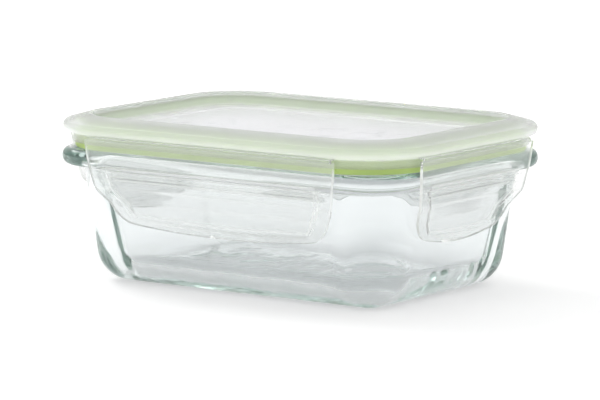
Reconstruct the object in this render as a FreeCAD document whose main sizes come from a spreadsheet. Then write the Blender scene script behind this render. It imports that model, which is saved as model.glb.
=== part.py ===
"""Rectangular glass food box with a four-flap snap lid, modelled closed.

Frame: millimetres, +Z up, origin on the table under the middle of the box,
X along the long side.  Front is -Y.

Every outline of the box is the same rounded rectangle moved inwards, so each
level is given by its inset from the widest outline of the lid.
"""
import FreeCAD, Part
import os
import re

import Sketcher
from FreeCAD import Placement, Rotation, Vector

DIMENSIONS = {
    # Widest outline of the lid
    "lid_length": 205.0,
    "lid_width": 150.0,
    "lid_corner": 38.0,
    # Glass tub: inset of each outline, and the height it is at
    "foot_inset": 19.4,
    "foot_corner": 15.5,
    "foot_round": 17.0,
    "wall_draft": 8.4,
    "flange_bottom": 56.3,
    "flange_top": 64.4,
    "flange_inset": 4.1,
    "flange_corner": 23.0,
    "flange_round": 3.9,
    "rim_inset": 8.0,
    "rim_top": 69.3,
    "rim_round": 1.6,
    "bowl_inset": 12.5,
    "bowl_corner": 24.8,
    "floor_inset": 23.6,
    "bowl_floor": 6.5,
    "bowl_round": 13.0,
    # Lid moulding
    "skirt_inset": 4.3,
    "skirt_bottom": 67.4,
    "lid_wall": 1.4,
    "bead_bottom": 72.6,
    "bead_round": 1.7,
    "bead_top": 77.0,
    "crest_inset": 12.0,
    "crest_top": 80.0,
    "channel_top": 76.8,
    "channel_inner": 13.2,
    "panel_inset": 14.5,
    "panel_top": 73.4,
    "panel_bottom": 71.8,
    # Silicone seal
    "seal_gap": 0.2,
    "seal_bottom": 69.6,
    "seal_lip_bottom": 64.7,
    "seal_lip_thickness": 1.6,
    # Locking flaps, each hanging from a living hinge under the bead
    "hinge_inset": 2.0,
    "hinge_height": 71.3,
    "hinge_radius": 0.5,
    "hinge_web": 0.6,
    "flap_gap": 0.5,
    "flap_wall": 1.5,
    "top_inset": 1.2,
    "middle_inset": 2.4,
    "middle_height": 58.0,
    "knee_inset": 4.4,
    "knee_height": 47.5,
    "tuck_inset": 9.4,
    "tuck_height": 40.3,
    "tab_inset": 13.2,
    "flap_bottom": 28.0,
    "hook_top": 55.2,
    "hook_bottom": 52.8,
    "hook_inset": 7.0,
    "long_flap_length": 142.0,
    "short_flap_length": 92.0,
    "end_taper": 3.5,
    "tab_step": 10.0,
    "tab_fall": 7.0,
    "tab_corner": 11.0,
}

os.makedirs("parts", exist_ok=True)
doc = FreeCAD.newDocument("food_box")

sheet = doc.addObject("Spreadsheet::Sheet", "Sizes")
for row, (alias, value) in enumerate(DIMENSIONS.items(), start=1):
    sheet.set(f"A{row}", alias)
    sheet.set(f"B{row}", str(value))
    sheet.setAlias(f"B{row}", alias)
doc.recompute()


def sized(expression):
    """Turn aliases of the sheet into full references, as in 'rim_top - 2'."""
    def full_name(match):
        word = match.group()
        return f"Sizes.{word}" if word in DIMENSIONS else word

    return re.sub(r"[A-Za-z_]+", full_name, expression)


def new_body(label):
    body = doc.addObject("PartDesign::Body", label)
    body.Label = label
    return body


def origin_plane(body, role):
    return next(f for f in body.Origin.OriginFeatures if f.Role == role)


def new_sketch(body, name, plane="XY_Plane", height=None):
    """A sketch on one of the body's own origin planes, raised by an expression."""
    sketch = body.newObject("Sketcher::SketchObject", name)
    sketch.AttachmentSupport = [(origin_plane(body, plane), "")]
    sketch.MapMode = "FlatFace"
    if height is not None:
        sketch.setExpression("AttachmentOffset.Base.z", sized(height))
    return sketch


def value_of(sketch, expression):
    """The present value of an expression in the sheet's aliases."""
    result = sketch.evalExpression(sized(expression))
    return float(getattr(result, "Value", result))


def constrain(sketch, kind, *arguments, expression):
    """Add a driving constraint whose value is an expression."""
    value = value_of(sketch, expression)
    index = sketch.addConstraint(Sketcher.Constraint(kind, *arguments, value))
    sketch.setExpression(f"Constraints[{index}]", sized(expression))


def rounded_rectangle(sketch, inset, corner=None):
    """The lid's outline moved inwards by inset, with concentric corners."""
    corner = corner or f"lid_corner - ( {inset} )"
    half_x = f"lid_length / 2 - ( {inset} )"
    half_y = f"lid_width / 2 - ( {inset} )"
    x, y, r = (value_of(sketch, e) for e in (half_x, half_y, corner))
    centres = [(x - r, y - r), (r - x, y - r), (r - x, r - y), (x - r, r - y)]
    first = sketch.GeometryCount
    for quarter, (cx, cy) in enumerate(centres):
        circle = Part.Circle(Vector(cx, cy, 0), Vector(0, 0, 1), r)
        start = quarter * 1.5707963267948966
        sketch.addGeometry(Part.ArcOfCircle(circle, start, start + 1.5707963267948966))
    for quarter in range(4):
        start = sketch.getPoint(first + quarter, 2)
        end = sketch.getPoint(first + (quarter + 1) % 4, 1)
        sketch.addGeometry(Part.LineSegment(start, end))
    for quarter in range(4):
        arc, line, next_arc = first + quarter, first + 4 + quarter, first + (quarter + 1) % 4
        sketch.addConstraint(Sketcher.Constraint("Tangent", arc, 2, line, 1))
        sketch.addConstraint(Sketcher.Constraint("Tangent", line, 2, next_arc, 1))
    for quarter in range(1, 4):
        sketch.addConstraint(Sketcher.Constraint("Equal", first, first + quarter))
    for line, kind in ((4, "Horizontal"), (5, "Vertical"), (6, "Horizontal"), (7, "Vertical")):
        sketch.addConstraint(Sketcher.Constraint(kind, first + line))
    constrain(sketch, "Radius", first, expression=corner)
    constrain(sketch, "DistanceX", -1, 1, first, 3, expression=f"{half_x} - ( {corner} )")
    constrain(sketch, "DistanceY", -1, 1, first, 3, expression=f"{half_y} - ( {corner} )")
    constrain(sketch, "DistanceX", first + 2, 3, -1, 1, expression=f"{half_x} - ( {corner} )")
    constrain(sketch, "DistanceY", first + 2, 3, -1, 1, expression=f"{half_y} - ( {corner} )")


def polygon(sketch, corners, round_side=None, radius=None):
    """A closed outline; each corner is a pair of expressions, all of them positive.

    The side numbered round_side, if given, is a quarter circle that starts below its centre.
    """
    points = [Vector(value_of(sketch, u), value_of(sketch, v), 0) for u, v in corners]
    first = sketch.GeometryCount
    count = len(points)
    for index, point in enumerate(points):
        end = points[(index + 1) % count]
        if index == round_side:
            circle = Part.Circle(Vector(point.x, end.y, 0), Vector(0, 0, 1), end.x - point.x)
            sketch.addGeometry(Part.ArcOfCircle(circle, -1.5707963267948966, 0))
            constrain(sketch, "Radius", first + index, expression=radius)
        else:
            sketch.addGeometry(Part.LineSegment(point, end))
    for index in range(count):
        following = first + (index + 1) % count
        sketch.addConstraint(Sketcher.Constraint("Coincident", first + index, 2, following, 1))
    for index, (u, v) in enumerate(corners):
        constrain(sketch, "DistanceX", -1, 1, first + index, 1, expression=u)
        constrain(sketch, "DistanceY", -1, 1, first + index, 1, expression=v)


def outline_sketch(body, name, height, *insets, corner=None):
    sketch = new_sketch(body, name, height=height)
    for inset in insets:
        rounded_rectangle(sketch, inset, corner)
    return sketch


def extrude(body, kind, name, sketch, length, taper=None, reverse=False, both_ways=False):
    """Pad or pocket a sketch over a length given by an expression."""
    feature = body.newObject(f"PartDesign::{kind}", name)
    feature.Profile = sketch
    feature.setExpression("Length", sized(length))
    if taper:
        feature.setExpression("TaperAngle", sized(taper))
    feature.Reversed = reverse
    feature.Midplane = both_ways
    sketch.Visibility = False
    doc.recompute()
    return feature


def fillet(body, name, radius, chosen):
    """Round the edges of the body's present shape for which chosen(edge) is true."""
    base = body.Tip
    edges = [f"Edge{i}" for i, edge in enumerate(base.Shape.Edges, start=1) if chosen(edge)]
    feature = body.newObject("PartDesign::Fillet", name)
    feature.Base = (base, edges)
    feature.setExpression("Radius", sized(radius))
    doc.recompute()
    return feature


def level_edges(height, inset):
    """A test for the edges that run round the box at one height and inset."""
    z = sheet.get(height)
    reach_x = sheet.get("lid_length") / 2 - inset

    def chosen(edge):
        box = edge.BoundBox
        flat = box.ZLength < 1e-4 and abs(box.ZMin - z) < 1e-3
        on_side = abs(max(abs(box.XMin), abs(box.XMax)) - reach_x) < 0.2
        reach_y = reach_x + (sheet.get("lid_width") - sheet.get("lid_length")) / 2
        on_end = abs(max(abs(box.YMin), abs(box.YMax)) - reach_y) < 0.2
        return flat and (on_side or on_end)

    return chosen


def make_glass_tub():
    """Pressed glass: drafted walls on a big foot radius, a locking flange and an upright rim."""
    body = new_body("glass_tub")
    foot = outline_sketch(body, "tub_foot", "0 * rim_top", "foot_inset", corner="foot_corner")
    extrude(body, "Pad", "tub_walls", foot, "flange_bottom", taper="wall_draft")
    fillet(body, "tub_foot_round", "foot_round", lambda e: abs(e.BoundBox.ZMax) < 1e-3)
    flange = outline_sketch(body, "tub_flange", "flange_bottom", "flange_inset", corner="flange_corner")
    extrude(body, "Pad", "tub_flange_pad", flange, "flange_top - flange_bottom")
    inset = sheet.get("flange_inset")
    top = level_edges("flange_top", inset)
    bottom = level_edges("flange_bottom", inset)
    fillet(body, "tub_flange_round", "flange_round", lambda e: top(e) or bottom(e))
    rim = outline_sketch(body, "tub_rim", "flange_top", "rim_inset")
    extrude(body, "Pad", "tub_rim_pad", rim, "rim_top - flange_top")
    mouth = outline_sketch(body, "tub_mouth", "rim_top", "bowl_inset", corner="bowl_corner")
    bowl_floor = outline_sketch(body, "tub_bowl_floor", "bowl_floor", "floor_inset", corner="bowl_corner")
    bowl = body.newObject("PartDesign::SubtractiveLoft", "tub_bowl")
    bowl.Profile = mouth
    bowl.Sections = [bowl_floor]
    bowl.Ruled = True
    doc.recompute()
    floor = sheet.get("bowl_floor")
    fillet(body, "tub_bowl_round", "bowl_round",
           lambda e: e.BoundBox.ZLength < 1e-4 and abs(e.BoundBox.ZMin - floor) < 1e-3)
    rim_top = sheet.get("rim_top")
    fillet(body, "tub_rim_round", "rim_round",
           lambda e: e.BoundBox.ZLength < 1e-4 and abs(e.BoundBox.ZMin - rim_top) < 1e-3)
    return body


def make_lid_panel():
    """The lid moulding without its flaps: beaded edge, sloping ring and sunken middle panel."""
    body = new_body("lid_panel")
    skirt = outline_sketch(body, "lid_skirt", "skirt_bottom", "skirt_inset")
    extrude(body, "Pad", "lid_skirt_pad", skirt, "bead_bottom - skirt_bottom")
    bead = outline_sketch(body, "lid_bead", "bead_bottom", "0 * lid_wall")
    extrude(body, "Pad", "lid_bead_pad", bead, "bead_top - bead_bottom")
    top = level_edges("bead_top", 0)
    bottom = level_edges("bead_bottom", 0)
    fillet(body, "lid_bead_round", "bead_round", lambda e: top(e) or bottom(e))
    slope = outline_sketch(body, "lid_slope", "bead_top", "bead_round")
    extrude(body, "Pad", "lid_slope_pad", slope, "crest_top - bead_top",
            taper="0 - atan((crest_inset - bead_round) / (crest_top - bead_top)) / 1deg")
    channel = outline_sketch(body, "lid_channel", "skirt_bottom",
                             "skirt_inset + lid_wall", "channel_inner")
    extrude(body, "Pocket", "lid_channel_pocket", channel, "channel_top - skirt_bottom", reverse=True)
    recess = outline_sketch(body, "lid_recess", "crest_top", "panel_inset")
    extrude(body, "Pocket", "lid_recess_pocket", recess, "crest_top - panel_top")
    under = outline_sketch(body, "lid_underside", "skirt_bottom", "panel_inset")
    extrude(body, "Pocket", "lid_underside_pocket", under, "panel_bottom - skirt_bottom", reverse=True)
    return body


def make_seal_ring():
    """Silicone seal filling the lid's channel, with a lip that hangs outside the glass rim."""
    body = new_body("seal_ring")
    outer = "skirt_inset + lid_wall + seal_gap"
    cushion = outline_sketch(body, "seal_cushion", "seal_bottom", outer, "channel_inner - seal_gap")
    extrude(body, "Pad", "seal_cushion_pad", cushion, "channel_top - seal_gap - seal_bottom")
    lip = outline_sketch(body, "seal_lip", "seal_lip_bottom", outer, f"{outer} + seal_lip_thickness")
    extrude(body, "Pad", "seal_lip_pad", lip, "seal_bottom - seal_lip_bottom")
    return body


def side_point(half_span, inset, height):
    """A corner of a cross-section on one side of the box, as a pair of expressions."""
    return (f"{half_span} / 2 - ( {inset} )", height)


def turned(body, turn):
    body.Placement = Placement(Vector(0, 0, 0), Rotation(Vector(0, 0, 1), turn))
    return body


def make_living_hinge(name, half_span, length, turn):
    """The thin web that flexes: a round bead on the swing axis and a web back to the skirt."""
    body = new_body(name)
    section = new_sketch(body, f"{name}_section", plane="YZ_Plane")
    half_web = "hinge_web / 2"
    polygon(section, [
        side_point(half_span, "skirt_inset", f"hinge_height - {half_web}"),
        side_point(half_span, "hinge_inset", f"hinge_height - {half_web}"),
        side_point(half_span, "hinge_inset", f"hinge_height + {half_web}"),
        side_point(half_span, "skirt_inset", f"hinge_height + {half_web}"),
    ])
    extrude(body, "Pad", f"{name}_web", section, length, both_ways=True)
    ring = new_sketch(body, f"{name}_ring", plane="YZ_Plane")
    y, z = side_point(half_span, "hinge_inset", "hinge_height")
    centre = Vector(value_of(ring, y), value_of(ring, z), 0)
    ring.addGeometry(Part.Circle(centre, Vector(0, 0, 1), sheet.get("hinge_radius")))
    constrain(ring, "Radius", 0, expression="hinge_radius")
    constrain(ring, "DistanceX", -1, 1, 0, 3, expression=y)
    constrain(ring, "DistanceY", -1, 1, 0, 3, expression=z)
    extrude(body, "Pad", f"{name}_bead", ring, length, both_ways=True)
    return turned(body, turn)


def make_flap(name, half_span, length, turn):
    """A locking flap: hangs just outside the flange, hooks under it and tucks in below it."""
    body = new_body(name)
    section = new_sketch(body, f"{name}_section", plane="YZ_Plane")
    top = "hinge_height - hinge_radius - flap_gap"
    outer_face = [
        ("top_inset", top),
        ("middle_inset", "middle_height"),
        ("knee_inset", "knee_height"),
        ("tuck_inset", "tuck_height"),
        ("tab_inset", "flap_bottom"),
    ]
    inner_face = [
        ("tab_inset + flap_wall", "flap_bottom"),
        ("tuck_inset + flap_wall", "tuck_height - 0.6 * flap_wall"),
        ("knee_inset + flap_wall", "knee_height - 0.6 * flap_wall"),
        ("knee_inset + 0.6 * flap_wall", "hook_bottom - 1.2"),
        ("hook_inset", "hook_bottom"),
        ("hook_inset", "hook_top"),
        ("middle_inset + 1.2 * flap_wall", "hook_top"),
        ("middle_inset + flap_wall", "middle_height"),
        ("top_inset + flap_wall", top),
    ]
    polygon(section, [side_point(half_span, inset, height) for inset, height in outer_face + inner_face])
    extrude(body, "Pad", f"{name}_plate", section, length, both_ways=True)

    step = new_sketch(body, f"{name}_step", plane="XZ_Plane")
    half, tab_half = f"{length} / 2", f"{length} / 2 - tab_step"
    polygon(step, [
        (f"{tab_half} - tab_corner", "flap_bottom - 1"),
        (f"{tab_half} - tab_corner", "flap_bottom"),
        (tab_half, "flap_bottom + tab_corner"),
        (tab_half, "knee_height - tab_fall"),
        (f"{half} - end_taper", "knee_height"),
        (half, "hinge_height"),
        (f"{half} + 1", "hinge_height"),
        (f"{half} + 1", "flap_bottom - 1"),
    ], round_side=1, radius="tab_corner")
    cut = extrude(body, "Pocket", f"{name}_step_cut", step, f"{half_span} + 20", both_ways=True)
    mirrored = body.newObject("PartDesign::Mirrored", f"{name}_step_pair")
    mirrored.Originals = [cut]
    mirrored.MirrorPlane = (origin_plane(body, "YZ_Plane"), [""])
    body.Tip = mirrored
    doc.recompute()
    return turned(body, turn)


SIDES = {
    # name: (span across the box, span along the side, turn about Z from the rear side)
    "rear": ("lid_width", "long_flap_length", 0),
    "front": ("lid_width", "long_flap_length", 180),
    "left": ("lid_length", "short_flap_length", 90),
    "right": ("lid_length", "short_flap_length", -90),
}

pieces = [make_glass_tub(), make_lid_panel(), make_seal_ring()]
for side, (span, length, turn) in SIDES.items():
    web_length = f"{length} - 16"
    pieces.append(make_living_hinge(f"{side}_living_hinge", span, web_length, turn))
    pieces.append(make_flap(f"{side}_flap", span, length, turn))

doc.recompute()
for item in doc.Objects:
    if {"Invalid", "Error"} & set(item.State):
        raise RuntimeError(f"{item.Label} did not build: {item.State}")
for piece in pieces:
    shape = piece.Shape
    if shape.isNull() or not shape.isValid():
        raise RuntimeError(f"{piece.Label} has no valid shape")
    shape.exportStep(f"parts/{piece.Label}.step")
    print(f"{piece.Label}: {shape.Volume:.0f} mm3, {len(shape.Solids)} solid(s), {shape.BoundBox}")
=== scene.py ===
"""Looks of the rectangular glass food box with a four-flap snap lid.

Pieces are built in millimetres and written in metres.  Cross-sections are lists of
corners (inset, height, rounding), where inset is measured inwards from the widest
outline of the lid.  Each is swept round the box along outlines whose corner radius is
a fixed spread less the inset, except that the bowl keeps one radius down its walls.
"""

import math

import bmesh
import bpy
from mathutils import Matrix, Vector


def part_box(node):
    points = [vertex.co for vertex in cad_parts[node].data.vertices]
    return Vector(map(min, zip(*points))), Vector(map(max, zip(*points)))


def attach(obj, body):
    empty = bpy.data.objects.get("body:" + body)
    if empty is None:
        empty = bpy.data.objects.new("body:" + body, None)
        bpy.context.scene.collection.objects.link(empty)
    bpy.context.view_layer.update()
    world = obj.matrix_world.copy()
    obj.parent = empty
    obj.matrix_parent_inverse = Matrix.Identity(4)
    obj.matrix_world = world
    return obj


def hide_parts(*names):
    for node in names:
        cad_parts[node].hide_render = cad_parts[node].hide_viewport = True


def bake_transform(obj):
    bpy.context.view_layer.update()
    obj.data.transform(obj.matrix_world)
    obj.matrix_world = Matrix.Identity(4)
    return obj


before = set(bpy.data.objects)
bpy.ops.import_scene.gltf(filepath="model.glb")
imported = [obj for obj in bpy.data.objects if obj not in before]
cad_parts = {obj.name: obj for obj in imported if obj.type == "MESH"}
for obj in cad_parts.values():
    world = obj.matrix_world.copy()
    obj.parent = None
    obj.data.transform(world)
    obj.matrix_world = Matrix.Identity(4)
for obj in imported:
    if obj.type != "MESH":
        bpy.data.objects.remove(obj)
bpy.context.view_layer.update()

MM = 0.001
LID_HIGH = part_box("lid_panel")[1] / MM
HALF_X, HALF_Y = LID_HIGH.x, LID_HIGH.y
CREST = LID_HIGH.z
RIM_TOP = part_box("glass_tub")[1].z / MM
LID_SPREAD, WALL_SPREAD, FLANGE_SPREAD = 38.0, 34.9, 27.1
SMALLEST_CORNER = 0.4
CORNER_STEPS = 22
LONG_STEPS, SHORT_STEPS = 44, 30


# ---------------------------------------------------------------- mesh helpers
def add_mesh(name, points, faces):
    """A smooth-shaded mesh object from points in millimetres."""
    mesh = bpy.data.meshes.new(name)
    mesh.from_pydata([Vector(p) * MM for p in points], [], faces)
    bm = bmesh.new()
    bm.from_mesh(mesh)
    bmesh.ops.recalc_face_normals(bm, faces=bm.faces)
    bm.to_mesh(mesh)
    bm.free()
    mesh.polygons.foreach_set("use_smooth", [True] * len(mesh.polygons))
    piece = bpy.data.objects.new(name, mesh)
    bpy.context.collection.objects.link(piece)
    return piece


def rounded_path(corners, steps, closed=False):
    """Points along a bent line whose corners (u, v, rounding) are turned into arcs."""
    count = len(corners)
    path = []
    for index, (u, v, rounding) in enumerate(corners):
        here = Vector((u, v))
        at_end = not closed and index in (0, count - 1)
        if at_end or rounding <= 0:
            path.append(here)
            continue
        before = (Vector(corners[index - 1][:2]) - here).normalized()
        after = (Vector(corners[(index + 1) % count][:2]) - here).normalized()
        half_angle = before.angle(after) / 2
        reach = rounding / math.tan(half_angle)
        centre = here + (before + after).normalized() * (rounding / math.sin(half_angle))
        start, end = here + before * reach - centre, here + after * reach - centre
        turn = start.angle_signed(end)
        for step in range(steps + 1):
            angle = -turn * step / steps
            cosine, sine = math.cos(angle), math.sin(angle)
            spoke = Vector((start.x * cosine - start.y * sine,
                            start.x * sine + start.y * cosine))
            path.append(centre + spoke)
    return path


def on_circle(centre, radius, angle, height):
    """A point on a level circle."""
    return Vector((centre[0] + radius * math.cos(angle),
                   centre[1] + radius * math.sin(angle), height))


def outline(inset, height, corner):
    """One loop round the box, counter-clockwise, at an inset and a height."""
    x, y = HALF_X - inset, HALF_Y - inset
    corner = max(corner, SMALLEST_CORNER)
    centres = [(x - corner, y - corner), (corner - x, y - corner),
               (corner - x, corner - y), (x - corner, corner - y)]
    loop = []
    for quarter, centre in enumerate(centres):
        for step in range(CORNER_STEPS + 1):
            angle = (quarter + step / CORNER_STEPS) * math.pi / 2
            loop.append(on_circle(centre, corner, angle, height))
        last = loop[-1]
        first = on_circle(centres[(quarter + 1) % 4], corner, (quarter + 1) * math.pi / 2, height)
        steps = LONG_STEPS if quarter % 2 == 0 else SHORT_STEPS
        loop += [last.lerp(first, step / steps) for step in range(1, steps)]
    return loop


def rows_of(corners, spread, steps, closed=False):
    """A rounded cross-section as rows of (inset, height, corner radius)."""
    return [(p.x, p.y, spread - p.x) for p in rounded_path(corners, steps, closed)]


def ring_faces(first, second, size):
    """Faces that join two loops of as many points, given the index at which each starts."""
    return [(first + i, first + (i + 1) % size, second + (i + 1) % size, second + i)
            for i in range(size)]


def end_caps(size, total):
    """Flat faces over the first and the last loop of a swept shape."""
    return [tuple(range(size)), tuple(range(total - size, total))]


def sweep(name, rows, closed=False):
    """Sweep rows round the box. An open cross-section is capped flat at both ends."""
    loops = [outline(inset, height, corner) for inset, height, corner in rows]
    size = len(loops[0])
    points = [point for loop in loops for point in loop]
    faces = []
    for row in range(len(loops) if closed else len(loops) - 1):
        faces += ring_faces(row * size, (row + 1) % len(loops) * size, size)
    if not closed:
        faces += end_caps(size, len(points))
    return add_mesh(name, points, faces)


# ------------------------------------------------------------- material helpers
def new_material(name):
    material = bpy.data.materials.new(name)
    material.use_nodes = True
    return material, material.node_tree.nodes, material.node_tree.links


def add_noise(nodes, links, scale, detail=4.0, stretch=(1, 1, 1)):
    """Noise in the object's own coordinates, as a value socket."""
    place = nodes.new("ShaderNodeTexCoord")
    mapping = nodes.new("ShaderNodeMapping")
    mapping.inputs["Scale"].default_value = stretch
    noise = nodes.new("ShaderNodeTexNoise")
    noise.inputs["Scale"].default_value = scale
    noise.inputs["Detail"].default_value = detail
    links.new(place.outputs["Object"], mapping.inputs["Vector"])
    links.new(mapping.outputs["Vector"], noise.inputs["Vector"])
    return noise.outputs["Fac"]


def add_range(nodes, links, source, values, span=(0.0, 1.0), interpolation="LINEAR"):
    """Map a value that goes over a span onto a range of values."""
    ramp = nodes.new("ShaderNodeMapRange")
    ramp.interpolation_type = interpolation
    ramp.inputs["From Min"].default_value, ramp.inputs["From Max"].default_value = span
    ramp.inputs["To Min"].default_value, ramp.inputs["To Max"].default_value = values
    links.new(source, ramp.inputs["Value"])
    return ramp.outputs["Result"]


def add_mix(nodes, links, source, low_colour, high_colour):
    """Blend two colours by a value."""
    mix = nodes.new("ShaderNodeMix")
    mix.data_type = "RGBA"
    mix.inputs["A"].default_value = (*low_colour, 1)
    mix.inputs["B"].default_value = (*high_colour, 1)
    links.new(source, mix.inputs["Factor"])
    return mix.outputs["Result"]


def blend_colours(nodes, links, source, low, high):
    """Blend two colour sockets by a value."""
    mix = nodes.new("ShaderNodeMix")
    mix.data_type = "RGBA"
    links.new(low, mix.inputs["A"])
    links.new(high, mix.inputs["B"])
    links.new(source, mix.inputs["Factor"])
    return mix.outputs["Result"]


def add_bump(nodes, links, source, distance, strength=1.0):
    """Turn a value into small dents. The strength can be linked afterwards."""
    bump = nodes.new("ShaderNodeBump")
    bump.inputs["Strength"].default_value = strength
    bump.inputs["Distance"].default_value = distance
    links.new(source, bump.inputs["Height"])
    return bump.outputs["Normal"]


def add_math(nodes, links, operation, *terms):
    """Work out a value from others. Each term is a value socket or a number."""
    node = nodes.new("ShaderNodeMath")
    node.operation = operation
    for socket, term in zip(node.inputs, terms):
        if isinstance(term, float):
            socket.default_value = term
        else:
            links.new(term, socket)
    return node.outputs["Value"]


def add_height_range(nodes, links, heights, values):
    """A value that changes smoothly between two heights, given in millimetres."""
    place = nodes.new("ShaderNodeTexCoord")
    split = nodes.new("ShaderNodeSeparateXYZ")
    links.new(place.outputs["Object"], split.inputs["Vector"])
    low, high = heights
    return add_range(nodes, links, split.outputs["Z"], values, (low * MM, high * MM), "SMOOTHSTEP")


def add_edge_mask(nodes, links, bends):
    """A value that rises from 0 to 1 with how sharply the surface bends, either way."""
    flat = 0.5
    pointiness = nodes.new("ShaderNodeNewGeometry").outputs["Pointiness"]
    bend = add_math(nodes, links, "ABSOLUTE", add_math(nodes, links, "SUBTRACT", pointiness, flat))
    return add_range(nodes, links, bend, (0.0, 1.0), bends)


# ------------------------------------------------------------------- materials
# The heights, in millimetres, between which a material changes.
FOOT_TO_WALL = (8.0, 22.0)
LIP_TO_CUSHION = (67.5, 69.5)
SKIRT_TO_PANEL = (70.8, 72.0)
PANEL_TO_RING = (73.4, 75.0)
RING_RISE = (75.0, 78.6)
BULGE_TO_HINGE = (56.0, 66.0)
BELOW_HINGE = (66.0, 69.0)


def make_glass():
    """Pressed soda-lime glass: slow waves, deepest in its foot, and teal where it is thick."""
    material, nodes, links = new_material("pressed_glass")
    shader = nodes["Principled BSDF"]
    shader.inputs["Transmission Weight"].default_value = 1.0
    shader.inputs["IOR"].default_value = 1.51
    waves = add_noise(nodes, links, scale=38.0, detail=2.0, stretch=(1, 1, 0.45))
    specks = add_noise(nodes, links, scale=420.0, detail=3.0)
    links.new(add_mix(nodes, links, specks, (0.892, 0.908, 0.914), (0.918, 0.932, 0.938)),
              shader.inputs["Base Color"])
    links.new(add_range(nodes, links, specks, (0.0, 0.03)), shader.inputs["Roughness"])
    ripples = add_bump(nodes, links, waves, distance=0.0009)
    links.new(add_height_range(nodes, links, FOOT_TO_WALL, (1.0, 0.4)),
              ripples.node.inputs["Strength"])
    links.new(ripples, shader.inputs["Normal"])
    absorption = nodes.new("ShaderNodeVolumeAbsorption")
    absorption.inputs["Color"].default_value = (0.46, 0.70, 0.62, 1)
    absorption.inputs["Density"].default_value = 5.0
    links.new(absorption.outputs["Volume"], nodes["Material Output"].inputs["Volume"])
    return material


def start_polypropylene(name, ior, roughness):
    """Satin polypropylene with faint flow marks, whose colour and clearness are still to be set."""
    material, nodes, links = new_material(name)
    shader = nodes["Principled BSDF"]
    shader.inputs["IOR"].default_value = ior
    flow = add_noise(nodes, links, scale=60.0, detail=5.0, stretch=(1, 1, 2.5))
    grain = add_noise(nodes, links, scale=1800.0, detail=2.0)
    links.new(add_range(nodes, links, flow, roughness), shader.inputs["Roughness"])
    links.new(add_bump(nodes, links, grain, distance=0.0001, strength=0.12),
              shader.inputs["Normal"])
    return material, nodes, links, shader, flow


def make_lid_plastic():
    """Milky in the ring and the panel, clearer in the skirt. The ring is painted darker than the
    panel as painted shade, and the plastic has a painted glow, an emission that stands in for light
    scattered through it.
    """
    material, nodes, links, shader, flow = start_polypropylene(
        "lid_polypropylene", ior=1.25, roughness=(0.18, 0.26))
    above_panel = add_height_range(nodes, links, PANEL_TO_RING, (0.0, 1.0))
    # Painted shade: the ring is given a darker, greyer base colour than the panel, though both are
    # the same plastic.
    panel = add_mix(nodes, links, flow, (0.92, 0.92, 0.94), (0.95, 0.95, 0.97))
    ring = add_mix(nodes, links, flow, (0.80, 0.81, 0.80), (0.84, 0.85, 0.84))
    links.new(blend_colours(nodes, links, above_panel, panel, ring), shader.inputs["Base Color"])
    links.new(add_height_range(nodes, links, SKIRT_TO_PANEL, (0.90, 0.64)),
              shader.inputs["Transmission Weight"])
    # Painted glow: an emission, greenish in the ring, that lifts the panel and the inner walls. It
    # is weaker up to the ring top and faint in the skirt.
    links.new(add_mix(nodes, links, above_panel, (0.98, 0.97, 1.0), (0.90, 1.0, 0.84)),
              shader.inputs["Emission Color"])
    glow = add_math(nodes, links, "MULTIPLY",
                    add_height_range(nodes, links, SKIRT_TO_PANEL, (0.1, 1.0)),
                    add_height_range(nodes, links, RING_RISE, (0.11, 0.035)))
    links.new(glow, shader.inputs["Emission Strength"])
    return material


def make_flap_plastic():
    """Almost clear. Its edges and steps below the hinge are made milkier and glow, as a painted
    highlight, and a faint painted glow rises towards the hinge.
    """
    material, nodes, links, shader, flow = start_polypropylene(
        "flap_polypropylene", ior=1.15, roughness=(0.08, 0.14))
    # Painted highlight: where the surface bends sharply, below the hinge, the flap is made less
    # clear and given extra glow, so its edges and steps show as light lines.
    edges = add_math(nodes, links, "MULTIPLY",
                     add_edge_mask(nodes, links, (0.004, 0.045)),
                     add_height_range(nodes, links, BELOW_HINGE, (1.0, 0.0)))
    links.new(add_mix(nodes, links, flow, (0.92, 0.93, 0.925), (0.955, 0.96, 0.955)),
              shader.inputs["Base Color"])
    clear = add_math(nodes, links, "MULTIPLY",
                     add_height_range(nodes, links, BULGE_TO_HINGE, (0.88, 0.86)),
                     add_range(nodes, links, edges, (1.0, 0.3)))
    links.new(clear, shader.inputs["Transmission Weight"])
    # Painted glow: an emission that rises towards the hinge, where the flap lies in shade under the
    # bead, plus the painted highlight's share on edges and steps.
    shader.inputs["Emission Color"].default_value = (0.93, 1.0, 0.90, 1)
    glow = add_math(nodes, links, "ADD",
                    add_height_range(nodes, links, BULGE_TO_HINGE, (0.0, 0.05)),
                    add_range(nodes, links, edges, (0.0, 0.12)))
    links.new(glow, shader.inputs["Emission Strength"])
    return material


def make_silicone():
    """Soft light green silicone, deeper green in the lip than in the cushion."""
    material, nodes, links = new_material("green_silicone")
    shader = nodes["Principled BSDF"]
    shader.inputs["Subsurface Weight"].default_value = 0.35
    shader.inputs["Subsurface Radius"].default_value = (0.004, 0.005, 0.002)
    mottle = add_noise(nodes, links, scale=90.0)
    fine = add_noise(nodes, links, scale=1500.0, detail=2.0)
    lip = add_mix(nodes, links, mottle, (0.47, 0.65, 0.18), (0.55, 0.72, 0.23))
    cushion = add_mix(nodes, links, mottle, (0.68, 0.85, 0.42), (0.75, 0.90, 0.48))
    above_lip = add_height_range(nodes, links, LIP_TO_CUSHION, (0.0, 1.0))
    links.new(blend_colours(nodes, links, above_lip, lip, cushion), shader.inputs["Base Color"])
    links.new(add_range(nodes, links, mottle, (0.42, 0.58)), shader.inputs["Roughness"])
    links.new(add_bump(nodes, links, fine, distance=0.0001, strength=0.2),
              shader.inputs["Normal"])
    return material


GLASS = make_glass()
LID_PLASTIC = make_lid_plastic()
FLAP_PLASTIC = make_flap_plastic()
SILICONE = make_silicone()


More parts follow.
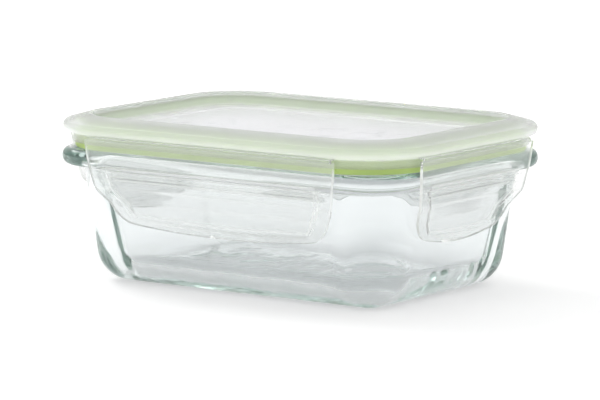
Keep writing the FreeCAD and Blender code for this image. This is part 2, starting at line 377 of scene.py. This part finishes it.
def finish_piece(piece, material, slot, body, *nodes):
    """Give a piece its material, attach it to the body that carries it, and hide the parts of the
    model that it stands for.

    A piece that bends between two bodies is given None as its body and is left unattached.
    """
    piece.data.materials.append(material)
    if body:
        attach(piece, body)
    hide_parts(*nodes)


# ------------------------------------------------------------------- glass tub
MIDDLE = 36.0  # the inset at which a cross-section stops and is capped flat
FLANGE_EDGE, FLANGE_LOW, FLANGE_HIGH, FLANGE_ROUND = 4.1, 56.3, 64.4, 3.7
RIM_ROUND = 1.6
BOWL_MOUTH, BOWL_FLOOR = 12.5, 6.5
BOWL_CORNER, BOWL_CORNER_END = 24.8, 21.7


def bowl_corner(inset):
    """Corner radius of the bowl: constant down its walls, so the glass is thick in its corners.

    In the lip above them, and in the turn to the floor below, it shrinks with the inset.
    """
    return min(max(BOWL_CORNER, BOWL_CORNER + BOWL_MOUTH - inset),
               BOWL_CORNER + BOWL_CORNER_END - inset)


def make_tub():
    wall = rows_of([
        (MIDDLE, 0.0, 0),
        (19.4, 0.0, 17.0),
        (11.1, FLANGE_LOW, 2.0),
        (9.2, FLANGE_LOW, 0),
    ], WALL_SPREAD, steps=14)
    flange = rows_of([
        (8.6, FLANGE_LOW, 0),
        (FLANGE_EDGE, FLANGE_LOW, FLANGE_ROUND),
        (FLANGE_EDGE, FLANGE_HIGH, FLANGE_ROUND),
        (7.85, FLANGE_HIGH, 0),
    ], FLANGE_SPREAD, steps=10)
    rim = rows_of([
        (8.0, 64.6, 0),
        (8.0, RIM_TOP, RIM_ROUND),
        (10.25, RIM_TOP, 0),
    ], LID_SPREAD, steps=8)
    bowl_path = rounded_path([
        (10.3, RIM_TOP, 0),
        (BOWL_MOUTH, RIM_TOP, RIM_ROUND),
        (23.6, BOWL_FLOOR, 13.0),
        (MIDDLE, BOWL_FLOOR, 0),
    ], steps=14)
    bowl = [(p.x, p.y, bowl_corner(p.x)) for p in bowl_path]
    tub = sweep("glass_tub_shell", wall + flange + rim + bowl)
    finish_piece(tub, GLASS, "clear_glass", "tub", "glass_tub")


# ------------------------------------------------------------------ lid and seal
PANEL_TOP, PANEL_UNDERSIDE = 73.0, 71.8
SKIRT_BOTTOM = 67.4


def make_lid():
    """From the panel out over the ring to the bead, then back along the underside."""
    rows = rows_of([
        (MIDDLE, PANEL_TOP, 0),
        (26.0, PANEL_TOP, 0.8),
        (25.0, 73.4, 0.8),
        (14.6, 73.4, 1.0),
        (13.9, CREST, 0.7),
        (12.2, CREST, 1.2),
        (1.4, 77.1, 1.4),
        (0.0, 75.2, 1.2),
        (0.7, 72.6, 0.6),
        (4.3, 72.4, 0.5),
        (4.3, SKIRT_BOTTOM, 0.5),
        (5.7, SKIRT_BOTTOM, 0.5),
        (5.7, 76.6, 0.9),
        (13.0, 78.2, 0.8),
        (13.25, SKIRT_BOTTOM, 0.4),
        (14.5, SKIRT_BOTTOM, 0.4),
        (14.5, PANEL_UNDERSIDE, 0.8),
        (MIDDLE, PANEL_UNDERSIDE, 0),
    ], LID_SPREAD, steps=6)
    lid = sweep("lid_moulding", rows)
    finish_piece(lid, LID_PLASTIC, "milky_polypropylene", "lid", "lid_panel")


def make_seal():
    """A cushion in the lid's channel, with a lip down the outside of the rim."""
    rows = rows_of([
        (5.95, 64.7, 0.6),
        (7.5, 64.7, 0.6),
        (7.5, 69.6, 0.4),
        (12.95, 69.6, 0.6),
        (12.75, 77.8, 0.8),
        (5.95, 76.3, 0.8),
    ], LID_SPREAD, steps=5, closed=True)
    seal = sweep("silicone_seal", rows, closed=True)
    finish_piece(seal, SILICONE, "green_silicone", "lid", "seal_ring")


# ------------------------------------------------------------------------ flaps
FLAP_WALL = 1.5
FLAP_TOP, KNEE, FLAP_BOTTOM = 70.3, 47.5, 28.0
BOTTOM_RISE = 2.5
TAB_CORNER = 11.0
FLAP_EDGE_WIDTH, FLAP_EDGE_ANGLE = 0.4, 50

# The field pressed into the flap's middle: its margins, its depth and the width of its sides.
FIELD_TOP, FIELD_END_MARGIN, FIELD_BOTTOM_MARGIN = 57.8, 7.5, 3.0
FIELD_DEPTH, FIELD_SLOPE = 0.9, 2.4

# The catch on the flap's inner face. Its slopes are the heights over which it stands out.
HOOK_TOP, HOOK_BOTTOM, HOOK_INSET = 55.2, 52.8, 7.0
HOOK_UPPER_SLOPE, HOOK_LOWER_SLOPE = 0.15, 1.2
HOOK_END_MARGIN, HOOK_FADE = 2.0, 14.0

# The grid a flap is made of. END_CROWDING draws its columns towards the flap's ends.
ROWS, COLUMNS = 54, 121
NEAREST_ROW = 0.3
END_CROWDING = 0.35

HINGE_INSET, HINGE_HEIGHT = 2.0, 71.3
HALF_WEB = 0.3
WEB_COLUMNS = 61
WEB_SHORTER = 3

FLAP_SECTION = rounded_path([
    (1.2, FLAP_TOP, 0),
    (2.4, 58.0, 20.0),
    (4.4, KNEE, 4.0),
    (9.4, 40.3, 6.0),
    (13.2, FLAP_BOTTOM - 0.2, 0),
], steps=6)
WEB_SECTION = rounded_path([
    (4.6, 71.6, 0),
    (HINGE_INSET, 71.5, 0.7),
    (HINGE_INSET, 69.9, 0),
], steps=6)
END_INSETS = [Vector(pair) for pair in (
    # how far the flap's end is stepped in, and the height
    (0.0, 70.3), (0.7, 62.0), (2.0, 55.0), (3.2, 49.0), (4.2, 46.0),
    (6.4, 43.0), (8.6, 40.3), (9.6, 37.0), (10.3, 34.0), (11.1, 27.0))]


def smooth_step(value):
    value = min(max(value, 0.0), 1.0)
    return value * value * (3 - 2 * value)


def at_height(line, height):
    """First coordinate of a falling line of (value, height) points, and its change with height."""
    for upper, lower in zip(line, line[1:]):
        if height >= lower.y:
            break
    slope = (upper.x - lower.x) / (upper.y - lower.y)
    return lower.x + (height - lower.y) * slope, slope


def flap_half_length(full_half, height, bottom):
    """Half the flap's length at a height, with its bottom corners rounded."""
    half = full_half - at_height(END_INSETS, height)[0]
    above_bottom = height - bottom
    if above_bottom < TAB_CORNER:
        fall = TAB_CORNER - above_bottom
        half -= TAB_CORNER - math.sqrt(max(TAB_CORNER ** 2 - fall ** 2, 0.0))
    return half


def field_depth(half, along, height, bottom):
    """How far the flap's middle is pressed in, with sloping sides all round."""
    from_end = half - FIELD_END_MARGIN - abs(along)
    from_top = FIELD_TOP - height
    from_bottom = height - (bottom + FIELD_BOTTOM_MARGIN)
    return FIELD_DEPTH * smooth_step(min(from_end, from_top, from_bottom) / FIELD_SLOPE)


def hook_depth(inset, height, half, along):
    """How far the hook stands in from the flap's inner face."""
    from_top = (HOOK_TOP - height) / HOOK_UPPER_SLOPE
    from_bottom = (height - (HOOK_BOTTOM - HOOK_LOWER_SLOPE)) / HOOK_LOWER_SLOPE
    rise = min(from_top, from_bottom, 1.0)
    fade = smooth_step((half - HOOK_END_MARGIN - abs(along)) / HOOK_FADE)
    return max(HOOK_INSET - FLAP_WALL - inset, 0.0) * max(rise, 0.0) * fade


def flap_heights():
    """Heights of the grid's rows, with extra ones at the edges of the hook."""
    even = [FLAP_TOP - (FLAP_TOP - FLAP_BOTTOM) * i / ROWS for i in range(ROWS + 1)]
    edges = [HOOK_TOP, HOOK_TOP - HOOK_UPPER_SLOPE, HOOK_BOTTOM, HOOK_BOTTOM - HOOK_LOWER_SLOPE]
    kept = [h for h in even if all(abs(h - edge) > NEAREST_ROW for edge in edges)]
    return sorted(kept + edges, reverse=True)


def grid_faces(rows, columns):
    """Faces of a closed plate made of an outer grid of points followed by an inner one."""
    inner = rows * columns
    faces = []
    for row in range(rows - 1):
        for column in range(columns - 1):
            a = row * columns + column
            faces.append((a, a + 1, a + 1 + columns, a + columns))
            a += inner
            faces.append((a, a + columns, a + 1 + columns, a + 1))
        for a in (row * columns, (row + 1) * columns - 1):
            faces.append((a, a + columns, inner + a + columns, inner + a))
    for column in range(columns - 1):
        for a in (column, inner - columns + column):
            faces.append((a, inner + a, inner + a + 1, a + 1))
    return faces


def turn_about_z(degrees):
    return Matrix.Rotation(math.radians(degrees), 4, "Z")


def make_flap(side, half_span, length, turn):
    """A locking flap, built on the rear side and turned to its own."""
    heights = flap_heights()
    outside, inside = [], []
    for level in heights:
        for column in range(COLUMNS):
            even = 2 * column / (COLUMNS - 1) - 1
            share = END_CROWDING * math.sin(math.pi / 2 * even) + (1 - END_CROWDING) * even
            bottom = FLAP_BOTTOM + BOTTOM_RISE * share ** 2
            below_knee = max(KNEE - level, 0.0) / (KNEE - FLAP_BOTTOM)
            height = level + below_knee * (bottom - FLAP_BOTTOM)
            half = flap_half_length(length / 2, height, bottom)
            x = share * half
            inset, slope = at_height(FLAP_SECTION, height)
            inward = Vector((1.0, -slope)).normalized()
            pressed = Vector((inset, height)) + inward * field_depth(half, x, height, bottom)
            back = pressed + inward * FLAP_WALL
            back.x += hook_depth(pressed.x, height, half, x)
            back.y = min(back.y, FLAP_TOP)
            outside.append((x, half_span - pressed.x, pressed.y))
            inside.append((x, half_span - back.x, back.y))
    flap = add_mesh(f"{side}_flap_shell", outside + inside, grid_faces(len(heights), COLUMNS))
    bevel = flap.modifiers.new("soft_edge", "BEVEL")
    bevel.width = FLAP_EDGE_WIDTH * MM
    bevel.segments = 3
    bevel.limit_method = "ANGLE"
    bevel.angle_limit = math.radians(FLAP_EDGE_ANGLE)
    flap.data.transform(turn_about_z(turn))
    finish_piece(flap, FLAP_PLASTIC, "milky_polypropylene", f"{side}_flap_body", f"{side}_flap")


def web_outline():
    """The web's cross-section: its middle line, thickened to both sides."""
    loop = []
    for order in (WEB_SECTION, WEB_SECTION[::-1]):
        for index, row in enumerate(order):
            before, after = order[max(index - 1, 0)], order[min(index + 1, len(order) - 1)]
            along = (after - before).normalized()
            loop.append(row + Vector((-along.y, along.x)) * HALF_WEB)
    return loop


def make_hinge(side, half_span, length, turn):
    """The thin web that joins a flap to the lid, which in the real box bends as the flap swings."""
    loop = web_outline()
    points, faces = [], []
    size = len(loop)
    for column in range(WEB_COLUMNS):
        x = (column / (WEB_COLUMNS - 1) - 0.5) * (length - WEB_SHORTER)
        points += [Vector((x, half_span - p.x, p.y)) for p in loop]
    for column in range(WEB_COLUMNS - 1):
        faces += ring_faces(column * size, (column + 1) * size, size)
    faces += end_caps(size, len(points))
    web = add_mesh(f"{side}_hinge_web", points, faces)
    rotation = turn_about_z(turn)
    web.data.transform(rotation)
    finish_piece(web, FLAP_PLASTIC, "milky_polypropylene", None, f"{side}_living_hinge")
    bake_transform(web)


SIDES = {
    # side: (middle to the lid's widest outline, flap length, turn from the rear side)
    "rear": (HALF_Y, 142.0, 0),
    "front": (HALF_Y, 142.0, 180),
    "left": (HALF_X, 92.0, 90),
    "right": (HALF_X, 92.0, -90),
}


# ----------------------------------------------------------- floor, light, camera
FLOOR_REACH = 9000
FLOOR_Z = -0.0002
WHITE = (1.0, 1.0, 1.0, 1)
LIGHT_TARGET = Vector((0, 0, 0.03))


def make_floor():
    """A pale floor just under the tub. Its faint glow lifts the shadow."""
    corners = [(-1, -1), (1, -1), (1, 1), (-1, 1)]
    floor = add_mesh("floor", [(x * FLOOR_REACH, y * FLOOR_REACH, 0) for x, y in corners],
                     [(0, 1, 2, 3)])
    floor.location.z = FLOOR_Z
    material, nodes, links = new_material("pale_floor")
    shader = nodes["Principled BSDF"]
    tone = add_noise(nodes, links, scale=3.0)
    links.new(add_mix(nodes, links, tone, (0.93, 0.93, 0.93), (0.95, 0.95, 0.95)),
              shader.inputs["Base Color"])
    shader.inputs["Roughness"].default_value = 0.9
    shader.inputs["Emission Color"].default_value = WHITE
    shader.inputs["Emission Strength"].default_value = 0.33
    floor.data.materials.append(material)


CAMERA_AZIMUTH, CAMERA_ELEVATION = math.radians(35.6), math.radians(8.3)
CAMERA_DISTANCE = 2.032
FIELD_OF_VIEW = math.radians(8.0)
AIM = Vector((0.0002, 0.0387))


def camera_axes():
    """Unit vectors towards the camera, to its right and upwards in its picture."""
    sin_a, cos_a = math.sin(CAMERA_AZIMUTH), math.cos(CAMERA_AZIMUTH)
    sin_e, cos_e = math.sin(CAMERA_ELEVATION), math.cos(CAMERA_ELEVATION)
    back = Vector((sin_a * cos_e, -cos_a * cos_e, sin_e))
    right = Vector((cos_a, sin_a, 0))
    return back, right, back.cross(right)


def make_camera():
    back, right, up = camera_axes()
    data = bpy.data.cameras.new("camera")
    data.sensor_width = 36.0
    data.lens = data.sensor_width / 2 / math.tan(FIELD_OF_VIEW / 2)
    camera = bpy.data.objects.new("camera", data)
    camera.location = back * CAMERA_DISTANCE + right * AIM.x + up * AIM.y
    camera.rotation_mode = "QUATERNION"
    camera.rotation_quaternion = (-back).to_track_quat("-Z", "Y")
    data.clip_end = 100
    bpy.context.collection.objects.link(camera)
    bpy.context.scene.camera = camera


def make_area_light(name, location, size, power):
    """A rectangular light that faces the middle of the box."""
    data = bpy.data.lights.new(name, "AREA")
    data.shape = "RECTANGLE"
    data.size, data.size_y = size
    data.energy = power
    light = bpy.data.objects.new(name, data)
    light.location = location
    light.rotation_mode = "QUATERNION"
    light.rotation_quaternion = (LIGHT_TARGET - Vector(location)).to_track_quat("-Z", "Y")
    bpy.context.collection.objects.link(light)


def add_facing(nodes, links, direction, source):
    """The cosine of the angle between a ray and a direction."""
    facing = nodes.new("ShaderNodeVectorMath")
    facing.operation = "DOT_PRODUCT"
    facing.inputs[1].default_value = direction
    links.new(source, facing.inputs[0])
    return facing.outputs["Value"]


def make_world():
    """A pale studio, a shade brighter behind the box, with greyer cards at its sides."""
    world = bpy.data.worlds.new("studio")
    bpy.context.scene.world = world
    world.use_nodes = True
    nodes, links = world.node_tree.nodes, world.node_tree.links
    background = nodes["Background"]
    background.inputs["Color"].default_value = WHITE
    ray = nodes.new("ShaderNodeTexCoord").outputs["Generated"]
    back, right, _ = camera_axes()
    behind = add_facing(nodes, links, (-back.x, -back.y, 0.35), ray)
    depth = add_range(nodes, links, behind, (0.72, 0.76), (-0.7, 0.5), "SMOOTHSTEP")
    sideways = add_math(nodes, links, "ABSOLUTE", add_facing(nodes, links, right, ray))
    cards = add_range(nodes, links, sideways, (1.0, 0.7), (0.55, 0.92), "SMOOTHSTEP")
    links.new(add_math(nodes, links, "MULTIPLY", depth, cards), background.inputs["Strength"])


make_camera()
make_world()
make_floor()
make_area_light("key", location=(-1.3, 0.2, 1.3), size=(0.8, 0.8), power=9)
make_area_light("fill", location=(0.9, -1.2, 1.3), size=(1.2, 0.8), power=2)
bpy.context.scene.view_settings.view_transform = "Standard"
cycles = bpy.context.scene.cycles
cycles.max_bounces = 40
cycles.glossy_bounces = 40
cycles.transmission_bounces = 40
cycles.diffuse_bounces = 8

make_tub()
make_lid()
make_seal()
for side, (half_span, length, turn) in SIDES.items():
    make_flap(side, half_span, length, turn)
    make_hinge(side, half_span, length, turn)
